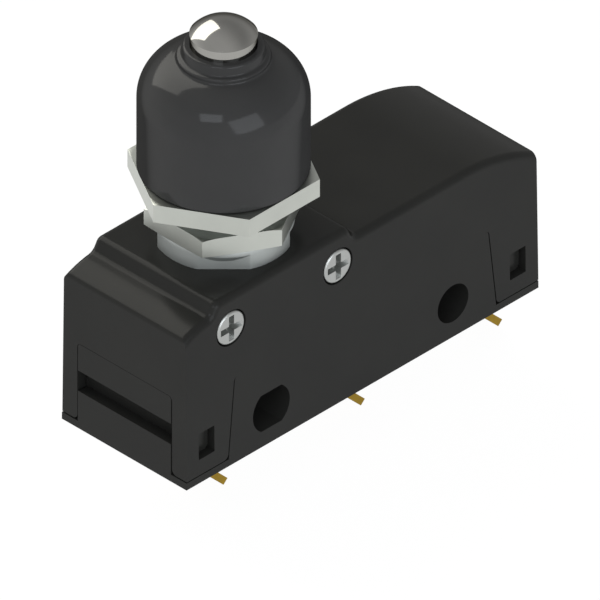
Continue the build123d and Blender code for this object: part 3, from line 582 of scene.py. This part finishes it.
def lathed(name, outline, finish, steps):
    """Piece turned about the bushing's axis from a closed outline of radius and height."""
    turns = [2 * math.pi * step / steps for step in range(steps)]
    rings = [
        [AXIS + Vector((radius * math.cos(turn), radius * math.sin(turn), height)) for turn in turns]
        for radius, height in outline
    ]
    return around(rings, name, finish)


def shade_round(piece):
    """Shades a turned piece round, apart from its crisp edges."""
    for polygon in piece.data.polygons:
        polygon.use_smooth = True
    piece.data.set_sharp_from_angle(angle=CRISP_FROM)


def arc(centre, radius, start, end, steps):
    """Points of an arc in the outline's plane, between two angles in degrees."""
    angles = [math.radians(start + (end - start) * k / steps) for k in range(steps + 1)]
    return [Vector(centre) + radius * Vector((math.cos(a), math.sin(a))) for a in angles]


def gaiter_outline():
    """Outline of the gaiter's wall, up the outside and down the inside."""
    low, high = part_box("gaiter")
    outer = (high.x - low.x) / 2
    shoulder = low.z + SHOULDER
    centre = (outer - DOME_RADIUS, shoulder)
    neck_angle = math.degrees(math.acos((NECK_FOOT_RADIUS - centre[0]) / DOME_RADIUS))
    inner = DOME_RADIUS - DOME_WALL
    outline = rounded([(SKIRT_INSIDE, low.z, 0), (outer, low.z, SKIRT_ROUND), (outer, shoulder, 0)])
    outline += arc(centre, DOME_RADIUS, 0, neck_angle, DOME_STEPS)[1:]
    top = high.z
    ring_top = top - LOWER_RING_DROP
    neck = rounded([
        (*outline[-1], 0),
        (LOWER_RING_RADIUS, outline[-1].y + NECK_FOOT_RISE, NECK_FOOT_ROUND),
        (LOWER_RING_RADIUS, ring_top, LOWER_RING_ROUND),
        (WAIST_RADIUS, ring_top + WAIST_RISE, WAIST_ROUND),
        (UPPER_RING_RADIUS, top, UPPER_RING_ROUND),
        (STEM_BORE_RADIUS, top, 0),
        (STEM_BORE_RADIUS, top - NECK_BORE_LENGTH, 0),
    ])
    outline += neck[1:]
    outline += arc(centre, inner, INNER_DOME_START, 0, INNER_DOME_STEPS)
    outline.append(Vector((outer - DOME_WALL, shoulder - THIN_WALL_DROP)))
    outline.append(Vector((SKIRT_INSIDE, shoulder - THICK_WALL_DROP)))
    return outline


def nitrile_rubber():
    """Moulded nitrile rubber: charcoal with a low, soft shine, and a trace of bloom that makes
    the shine uneven."""
    finish, tree, shader, place = new_finish("black_nitrile_rubber", ior=1.52)
    soft_rim(tree, shader, RUBBER_GLOSS, RUBBER_RIM)
    mottle(tree, place, shader, RUBBER_SHADES, RUBBER_CLOUD, RUBBER_ROUGHNESS)
    grain(tree, place, shader, *RUBBER_GRAIN)
    return finish


gaiter = lathed("rubber_gaiter", gaiter_outline(), nitrile_rubber(), GAITER_STEPS)
shade_round(gaiter)
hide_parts("gaiter")
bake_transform(gaiter)


# The plunger: one turned and polished piece of hardened steel. The domed button stands on the
# neck of the gaiter, and its stem runs down through the bushing with a collar for the return
# spring, a bore for the second spring and a groove for the clip.
PLUNGER_STEPS = 128
STEM_RADIUS = 2.4 * MM
BUTTON_RADIUS = 3.41 * MM
BUTTON_BAND = 1.2 * MM
BUTTON_HEIGHT = 2.75 * MM
BUTTON_FOOT_ROUND = 0.12 * MM
CROWN_STEPS = 24
SPRING_COLLAR_RADIUS = 4.1 * MM
SPRING_COLLAR_DROP = 2.5 * MM
SPRING_COLLAR_THICKNESS = 0.8 * MM
SPRING_BORE_RADIUS = 1.3 * MM
SPRING_BORE_DEPTH = 11.1 * MM
CLIP_GROOVE_DEPTH = 0.35 * MM
STEEL_SHADES = ("#999894", "#A1A09C")
STEEL_CLOUD = 1.5
STEEL_ROUGHNESS = (0.07, 0.11)
STEEL_GRAZING_TINT = "#646464"
TURNING_PITCH = 0.2 * MM
TURNING_DEPTH = 0.003 * MM
TURNING_STRENGTH = 0.05
WAVE_RADIANS_PER_UNIT = 20


def plunger_outline():
    """Closed outline of the plunger, from the clip's groove up to the crown and down the bore."""
    low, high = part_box("plunger")
    button_foot = high.z - BUTTON_HEIGHT
    cap = BUTTON_HEIGHT - BUTTON_BAND
    cap_radius = (BUTTON_RADIUS ** 2 + cap ** 2) / (2 * cap)
    spread = math.degrees(math.asin(BUTTON_RADIUS / cap_radius))
    crown = arc((0.0, high.z - cap_radius), cap_radius, 90 - spread, 90, CROWN_STEPS)
    collar_top = button_foot - SPRING_COLLAR_DROP
    collar_foot = collar_top - SPRING_COLLAR_THICKNESS
    clip_low, clip_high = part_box("retaining_clip")
    groove = STEM_RADIUS - CLIP_GROOVE_DEPTH
    corners = rounded([
        (groove, clip_low.z, 0),
        (groove, clip_high.z, 0),
        (STEM_RADIUS, clip_high.z, 0),
        (STEM_RADIUS, collar_foot, 0),
        (SPRING_COLLAR_RADIUS, collar_foot, 0),
        (SPRING_COLLAR_RADIUS, collar_top, 0),
        (STEM_RADIUS, collar_top, 0),
        (STEM_RADIUS, button_foot, 0),
        (BUTTON_RADIUS, button_foot, BUTTON_FOOT_ROUND),
    ])
    bore_top = low.z + SPRING_BORE_DEPTH
    inside = [
        Vector((0, bore_top)),
        Vector((SPRING_BORE_RADIUS, bore_top)),
        Vector((SPRING_BORE_RADIUS, low.z)),
        Vector((STEM_RADIUS, low.z)),
        Vector((STEM_RADIUS, clip_low.z)),
    ]
    return corners + crown + inside


def polished_steel():
    """Hardened steel polished on the lathe: a darkish mirror with hair-fine rings round the axis.
    The rings are drawn a fifth of a millimetre apart so that they just show."""
    finish, tree, shader, place = new_finish("polished_hard_steel", metallic=1.0)
    shader.inputs["Specular Tint"].default_value = linear(STEEL_GRAZING_TINT)
    mottle(tree, place, shader, STEEL_SHADES, STEEL_CLOUD, STEEL_ROUGHNESS)
    centred = add(tree, "ShaderNodeMapping", {"Location": -AXIS}, {"Vector": place})
    rings = add(
        tree,
        "ShaderNodeTexWave",
        {"Scale": 2 * math.pi / (WAVE_RADIANS_PER_UNIT * TURNING_PITCH), "Distortion": 0.4},
        {"Vector": centred.outputs[0]},
        wave_type="RINGS",
        rings_direction="Z",
    )
    relief = add(
        tree,
        "ShaderNodeBump",
        {"Strength": TURNING_STRENGTH, "Distance": TURNING_DEPTH},
        {"Height": rings.outputs[1]},
    )
    tree.links.new(relief.outputs[0], shader.inputs["Normal"])
    return finish


plunger = lathed("steel_plunger", plunger_outline(), polished_steel(), PLUNGER_STEPS)
shade_round(plunger)
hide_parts("plunger")
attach(plunger, "plunger")


# The cross screws: two zinc-plated machine screws that go right through the case and hold the
# bushing by grooves in its flats. The cross recess is pressed into the head, so its four arms
# narrow as they go down.
SCREW_STEPS = 64
HEAD_RADIUS = 1.9 * MM
HEAD_HEIGHT = 1.3 * MM
HEAD_ROUND = 0.3 * MM
SHANK_RADIUS = 1.5 * MM
SHANK_END_ROUND = 0.3 * MM
CROSS_SPAN = 3.0 * MM
CROSS_WIDTH = 0.74 * MM
CROSS_DEPTH = 0.8 * MM
CUTTER_RISE = 0.3 * MM
CUTTER_TOP_SHARE = 1.12
CUTTER_FOOT_SHARE = 0.62
ZINC_SHADES = ("#A8AAA8", "#B1B3B1")
ZINC_CLOUD = 0.8
ZINC_ROUGHNESS = (0.32, 0.42)


def screw_form(finish):
    """One screw along Y with its head's face at the origin."""
    low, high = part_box("cross_screw_1")
    length = high.y - low.y
    outline = rounded([
        (0, 0, 0),
        (HEAD_RADIUS, 0, HEAD_ROUND),
        (HEAD_RADIUS, HEAD_HEIGHT, 0),
        (SHANK_RADIUS, HEAD_HEIGHT, 0),
        (SHANK_RADIUS, length, SHANK_END_ROUND),
        (0, length, 0),
    ])
    turns = [2 * math.pi * step / SCREW_STEPS for step in range(SCREW_STEPS)]
    rings = [
        [Vector((radius * math.cos(turn), depth, radius * math.sin(turn))) for turn in turns]
        for radius, depth in outline
    ]
    screw = around(rings, "one_screw", finish, closed=False)
    for upright in (False, True):
        cutter = recess_arm(upright, finish)
        cut = screw.modifiers.new("recess", "BOOLEAN")
        cut.operation = "DIFFERENCE"
        cut.solver = "EXACT"
        cut.object = cutter
        settle(screw)
        bpy.data.objects.remove(cutter)
    return screw


def recess_arm(upright, finish):
    """Cutter for two arms of the recess: a bar that narrows towards the bottom."""
    form = bmesh.new()
    layers = []
    for depth, share in ((-CUTTER_RISE, CUTTER_TOP_SHARE), (CROSS_DEPTH, CUTTER_FOOT_SHARE)):
        long, short = CROSS_SPAN / 2 * share, CROSS_WIDTH / 2 * share
        x, z = (short, long) if upright else (long, short)
        corners = ((-x, -z), (x, -z), (x, z), (-x, z))
        layers.append([form.verts.new((across, depth, up)) for across, up in corners])
    form.faces.new(layers[0])
    form.faces.new(layers[1])
    for i in range(4):
        j = (i + 1) % 4
        form.faces.new((layers[0][i], layers[0][j], layers[1][j], layers[1][i]))
    bmesh.ops.recalc_face_normals(form, faces=form.faces)
    mesh = bpy.data.meshes.new("recess_arm")
    form.to_mesh(mesh)
    form.free()
    return stand("recess_arm", mesh, finish)


def screw_tree(finish):
    """Tree that sets one screw at each end of a line along the case."""
    tree = bpy.data.node_groups.new("screws_along_case", "GeometryNodeTree")
    tree.interface.new_socket("Screw", in_out="INPUT", socket_type="NodeSocketObject")
    tree.interface.new_socket("Pitch", in_out="INPUT", socket_type="NodeSocketFloat")
    tree.interface.new_socket("Screws", in_out="OUTPUT", socket_type="NodeSocketGeometry")
    inputs = add(tree, "NodeGroupInput").outputs
    step = add(tree, "ShaderNodeCombineXYZ", links={0: inputs["Pitch"]})
    line = add(tree, "GeometryNodeMeshLine", {"Count": 2}, {"Offset": step.outputs[0]})
    one = add(tree, "GeometryNodeObjectInfo", links={"Object": inputs["Screw"]})
    spread = add(
        tree,
        "GeometryNodeInstanceOnPoints",
        links={"Points": line.outputs[0], "Instance": one.outputs["Geometry"]},
    )
    real = add(tree, "GeometryNodeRealizeInstances", links={"Geometry": spread.outputs[0]})
    coated = add(tree, "GeometryNodeSetMaterial", {"Material": finish}, {"Geometry": real.outputs[0]})
    add(tree, "NodeGroupOutput", links={0: coated.outputs[0]})
    return tree


def zinc_plate():
    """Bright zinc on small steel screws: pale, softly bright and a little cloudy."""
    finish, tree, shader, place = new_finish("zinc_plated_screws", metallic=1.0)
    mottle(tree, place, shader, ZINC_SHADES, ZINC_CLOUD, ZINC_ROUGHNESS)
    return finish


zinc = zinc_plate()
one_screw = screw_form(zinc)
first_low, first_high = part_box("cross_screw_1")
second_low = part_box("cross_screw_2")[0]
screw_at = Vector(((first_low.x + first_high.x) / 2, first_low.y, (first_low.z + first_high.z) / 2))
sizes = {"Screw": one_screw, "Pitch": second_low.x - first_low.x}
screws = grown("cross_recess_screws", screw_tree(zinc), sizes, screw_at, zinc)
bpy.data.objects.remove(one_screw)
shade_round(screws)
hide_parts("cross_screw_1", "cross_screw_2")
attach(screws, "case")


# The terminals: three blades cut and bent from rolled brass strip, moulded into the base. Only
# their bent ends stand out below the case, and the sheared edges are broken very slightly.
BLADE_EDGE_ROUND = 0.05 * MM
BRASS_SHADES = ("#7D641B", "#A08224")
BRASS_CLOUD = 1.2
BRASS_ROUGHNESS = (0.26, 0.38)
ROLLING_MARKS = (0.2, 0.01, 0.3)
ROLLING_STRETCH = 10


def rolled_brass():
    """Rolled brass strip: yellow, softly bright, with the rolling marks drawn a fifth of a
    millimetre apart across the blade."""
    finish, tree, shader, place = new_finish("rolled_brass_strip", metallic=1.0)
    mottle(tree, place, shader, BRASS_SHADES, BRASS_CLOUD, BRASS_ROUGHNESS)
    along = 1 / ROLLING_STRETCH
    stretched = add(tree, "ShaderNodeMapping", {"Scale": (along, 1.0, along)}, {"Vector": place})
    grain(tree, stretched.outputs[0], shader, *ROLLING_MARKS)
    return finish


brass = rolled_brass()
for node in ("common_terminal", "open_terminal", "closed_terminal"):
    blade = break_edges(packed_copy("brass_" + node, node, brass), BLADE_EDGE_ROUND)
    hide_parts(node)
    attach(blade, "case")


# The coil springs: hard-drawn spring wire. The wide one in the bushing's well lifts the
# plunger; the small one in the stem's bore passes the push on to the pin and takes up the
# rest of the travel.
WIRE_SIDES = 10
STEPS_PER_TURN = 40
SPRING_SHADES = ("#8C8F92", "#A2A5A8")
SPRING_CLOUD = 0.6
SPRING_ROUGHNESS = (0.24, 0.36)
SPRING_GRAIN = (0.1, 0.004, 0.2)


def coil_tree(finish):
    """Tree that winds one spring from its radius, wire, turns and height."""
    tree = bpy.data.node_groups.new("coil_spring", "GeometryNodeTree")
    for name in ("Radius", "Wire Radius", "Turns", "Height"):
        tree.interface.new_socket(name, in_out="INPUT", socket_type="NodeSocketFloat")
    tree.interface.new_socket("Spring", in_out="OUTPUT", socket_type="NodeSocketGeometry")
    sizes = add(tree, "NodeGroupInput").outputs
    winding = add(
        tree,
        "GeometryNodeCurveSpiral",
        {"Resolution": STEPS_PER_TURN},
        {
            "Rotations": sizes["Turns"],
            "Start Radius": sizes["Radius"],
            "End Radius": sizes["Radius"],
            "Height": sizes["Height"],
        },
    )
    wire = add(
        tree,
        "GeometryNodeCurvePrimitiveCircle",
        {"Resolution": WIRE_SIDES},
        {"Radius": sizes["Wire Radius"]},
    )
    coil = add(
        tree,
        "GeometryNodeCurveToMesh",
        {"Fill Caps": True},
        {"Curve": winding.outputs[0], "Profile Curve": wire.outputs[0]},
    )
    real = add(tree, "GeometryNodeRealizeInstances", links={"Geometry": coil.outputs[0]})
    coated = add(tree, "GeometryNodeSetMaterial", {"Material": finish}, {"Geometry": real.outputs[0]})
    add(tree, "NodeGroupOutput", links={0: coated.outputs[0]})
    return tree


def spring_steel():
    """Drawn spring steel: grey and satin. Its drawing lines are too fine to show apart, and a
    soft grain stands for them."""
    finish, tree, shader, place = new_finish("drawn_spring_steel", metallic=1.0)
    mottle(tree, place, shader, SPRING_SHADES, SPRING_CLOUD, SPRING_ROUGHNESS)
    grain(tree, place, shader, *SPRING_GRAIN)
    return finish


spring_finish = spring_steel()
coil_maker = coil_tree(spring_finish)
for node, wire, turns, body, keep in (
    ("return_spring", 0.6 * MM, 5.0, "case", 0.64),
    ("overtravel_spring", 0.3 * MM, 7.0, "pin", 0.39),
):
    low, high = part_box(node)
    sizes = {
        "Radius": (high.y - low.y - wire) / 2,
        "Wire Radius": wire / 2,
        "Turns": turns,
        "Height": high.z - low.z - wire,
    }
    foot = AXIS + Vector((0, 0, low.z))
    coil = grown("wound_" + node, coil_maker, sizes, foot + Vector((0, 0, wire / 2)), spring_finish)
    for polygon in coil.data.polygons:
        polygon.use_smooth = True
    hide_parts(node)
    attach(coil, body)
    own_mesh(coil)


# The contact system in the case: a springy copper-alloy blade with a silver contact riveted
# through it, two fixed silver contacts on the terminals, the bowed snap spring, the clip in
# the stem's groove and the moulded pin that works the blade.
BERYLLIUM_COPPER = ("#A5683A", "#BC7B48")
SILVER = ("#C7C8C9", "#DADBDC")
ACETAL = ("#C9C5B8", "#D6D2C6")
INNER_GRAIN = (0.15, 0.004, 0.2)


def inner_finish(name, shades, size_mm, roughness, **shader_values):
    """Plain finish of an inner piece: two close shades, a soft grain and its own gloss."""
    finish, tree, shader, place = new_finish(name, **shader_values)
    mottle(tree, place, shader, shades, size_mm, roughness)
    grain(tree, place, shader, *INNER_GRAIN)
    return finish


def dress(node, finish):
    """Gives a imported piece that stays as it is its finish."""
    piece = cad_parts[node]
    if not piece.material_slots:
        piece.data.materials.append(finish)
    for held in piece.material_slots:
        held.link = "OBJECT"
        held.material = finish


copper = inner_finish("spring_copper_alloy", BERYLLIUM_COPPER, 1.0, (0.25, 0.35), metallic=1.0)
silver = inner_finish("contact_silver", SILVER, 0.6, (0.15, 0.25), metallic=1.0)
acetal = inner_finish("natural_acetal", ACETAL, 2.0, (0.35, 0.45), ior=1.48)
dress("contact_blade", copper)
dress("snap_spring", spring_finish)
dress("retaining_clip", spring_finish)
dress("actuator_pin", acetal)
for node in ("moving_contact", "open_contact", "closed_contact"):
    dress(node, silver)


# The studio: three soft boxes in a white room. The large one hangs behind and to the left and
# gives the button its bright window; the two in front leave the faint panes on the gaiter.
# Room and floor look white to the camera, while less light comes from them.
ROOM_LIGHT = 0.48
CEILING = 0.66
WALL_TOP = 0.2
CEILING_START = 0.75
BOW_WALL = 0.56
BOW_WALL_START = -0.3
BOW_WALL_END = 0.7
FLOOR_DROP = 0.4 * MM
FLOOR_WIDTH = 3.0
FLOOR_PAINT = "#F3F3F3"
FLOOR_GLOW = 1.03
SHADOW_SHARE = 0.06
LAMP_DISTANCE = 0.8
WARM_WHITE = "#FFFDF4"
COOL_WHITE = "#F2F8FF"


def seen_ray(tree):
    """One where a ray comes from the camera, a shiny face or through glass, and zero elsewhere."""
    path = add(tree, "ShaderNodeLightPath")
    direct = add(
        tree,
        "ShaderNodeMath",
        links={0: path.outputs["Is Camera Ray"], 1: path.outputs["Is Glossy Ray"]},
        operation="MAXIMUM",
    )
    both = add(
        tree,
        "ShaderNodeMath",
        links={0: direct.outputs[0], 1: path.outputs["Is Transmission Ray"]},
        operation="MAXIMUM",
    )
    return both.outputs[0]


def white_room():
    """World that looks white to the camera and lights the object at a plainer level. What is
    mirrored is as white low on the walls, and darker overhead and beyond the bow end."""
    world = bpy.data.worlds.new("white_room")
    world.use_nodes = True
    tree = world.node_tree
    tree.nodes.clear()
    direction = add(tree, "ShaderNodeTexCoord").outputs["Generated"]
    way = add(tree, "ShaderNodeSeparateXYZ", links={0: direction})
    height = add(
        tree,
        "ShaderNodeMapRange",
        {"From Min": WALL_TOP, "From Max": CEILING_START, "To Min": 1.0, "To Max": CEILING},
        {"Value": way.outputs["Z"]},
        interpolation_type="SMOOTHSTEP",
    )
    length = add(
        tree,
        "ShaderNodeMapRange",
        {"From Min": BOW_WALL_START, "From Max": BOW_WALL_END, "To Min": 1.0, "To Max": BOW_WALL},
        {"Value": way.outputs["X"]},
        interpolation_type="SMOOTHSTEP",
    )
    walls = add(
        tree, "ShaderNodeMath", links={0: height.outputs[0], 1: length.outputs[0]}, operation="MULTIPLY"
    )
    camera_ray = add(tree, "ShaderNodeLightPath").outputs["Is Camera Ray"]
    shown = add(tree, "ShaderNodeMath", links={0: walls.outputs[0], 1: camera_ray}, operation="MAXIMUM")
    level = add(
        tree,
        "ShaderNodeMapRange",
        {"To Min": ROOM_LIGHT},
        {"Value": seen_ray(tree), "To Max": shown.outputs[0]},
    )
    light = add(tree, "ShaderNodeBackground", {"Color": (1, 1, 1, 1)}, {"Strength": level.outputs[0]})
    add(tree, "ShaderNodeOutputWorld", links={"Surface": light.outputs[0]})
    return world


def white_floor():
    """Matt white floor that is plain white to the eye and keeps a faint shadow. Its glow is a
    trace over white because the matt share that is mixed in is darker."""
    finish = bpy.data.materials.new("white_floor")
    finish.use_nodes = True
    tree = finish.node_tree
    tree.nodes.clear()
    matt = add(tree, "ShaderNodeBsdfDiffuse", {"Color": linear(FLOOR_PAINT)})
    glow = add(tree, "ShaderNodeEmission", {"Color": (1, 1, 1, 1), "Strength": FLOOR_GLOW})
    shown = add(
        tree, "ShaderNodeMixShader", {0: 1 - SHADOW_SHARE}, {1: matt.outputs[0], 2: glow.outputs[0]}
    )
    both = add(
        tree, "ShaderNodeMixShader", links={0: seen_ray(tree), 1: matt.outputs[0], 2: shown.outputs[0]}
    )
    add(tree, "ShaderNodeOutputMaterial", links={"Surface": both.outputs[0]})
    return finish


def soft_box(name, direction, across, spread, radiance, tint):
    """Soft lamp that faces the switch from a direction, with its width across another one. Its
    spread is its width and height for each metre that it stands away."""
    lamp = bpy.data.lights.new(name, "AREA")
    lamp.color = linear(tint)[:3]
    lamp.shape = "RECTANGLE"
    width, height = (share * LAMP_DISTANCE for share in spread)
    lamp.size = width
    lamp.size_y = height
    lamp.energy = radiance * math.pi * width * height
    holder = bpy.data.objects.new(name, lamp)
    towards = Vector(direction).normalized()
    holder.location = PICTURE_CENTRE + towards * LAMP_DISTANCE
    side = Vector(across).normalized()
    holder.rotation_euler = Matrix((side, towards.cross(side), towards)).transposed().to_euler()
    bpy.context.collection.objects.link(holder)


bpy.context.scene.world = white_room()
floor_height = solids_box[0][2] - FLOOR_DROP
floor_mesh = bpy.data.meshes.new("floor")
reach = FLOOR_WIDTH / 2
corners = ((-reach, -reach), (reach, -reach), (reach, reach), (-reach, reach))
floor_mesh.from_pydata([(x, y, floor_height) for x, y in corners], [], [(0, 1, 2, 3)])
floor = stand("floor", floor_mesh, white_floor())
for name, direction, across, spread, radiance, tint in (
    ("box_behind_left", (-0.014, 0.761, 0.649), (0.949, -0.195, 0.249), (0.78, 0.84), 3.1, WARM_WHITE),
    ("box_front_right", (-0.244, -0.918, 0.313), (0.964, -0.195, 0.18), (0.70, 0.64), 2.6, COOL_WHITE),
    ("box_front_left", (-0.721, -0.354, 0.596), (0.525, -0.84, 0.136), (0.46, 0.31), 3.4, COOL_WHITE),
):
    soft_box(name, direction, across, spread, radiance, tint)

bpy.context.scene.view_settings.view_transform = "Standard"
